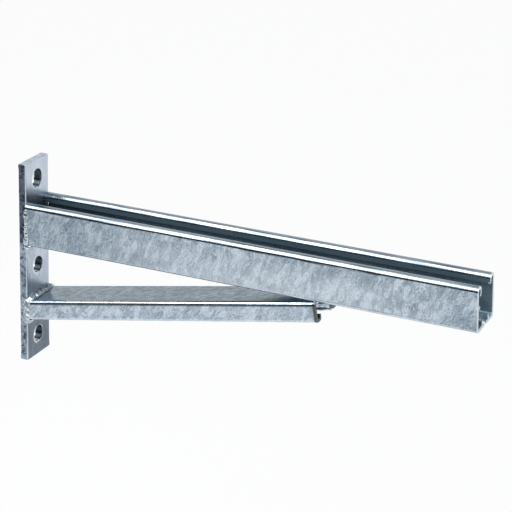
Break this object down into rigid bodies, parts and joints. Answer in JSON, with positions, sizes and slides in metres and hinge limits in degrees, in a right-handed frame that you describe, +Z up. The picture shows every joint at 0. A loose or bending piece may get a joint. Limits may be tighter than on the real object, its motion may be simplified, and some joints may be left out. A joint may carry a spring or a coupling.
{
  "type": "cantilever strut arm",
  "caption": "Welded galvanised wall bracket: a lipped channel arm, open side up, on a drilled back plate, propped from below by a shallower channel brace.",
  "frame": {"origin": "on the back plate's wall face, mid-width, level with the arm's load face", "axes": "+X out from the wall along the arm, +Y across the arm, +Z up"},
  "size_m": [0.389, 0.047, 0.1705],
  "materials": {
    "galvanised_plate": "hot-dip galvanised, dull mottled grey",
    "galvanised_arm": "hot-dip galvanised, mottled spangle",
    "galvanised_brace": "hot-dip galvanised, mottled spangle",
    "galvanised_weld": "rippled weld bead under zinc"
  },
  "bodies": {
    "root": {"back_plate": "galvanised_plate", "arm_channel": "galvanised_arm", "brace_channel": "galvanised_brace", "arm_weld": "galvanised_weld", "brace_weld": "galvanised_weld", "brace_tip_weld": "galvanised_weld"}
  },
  "joints": []
}
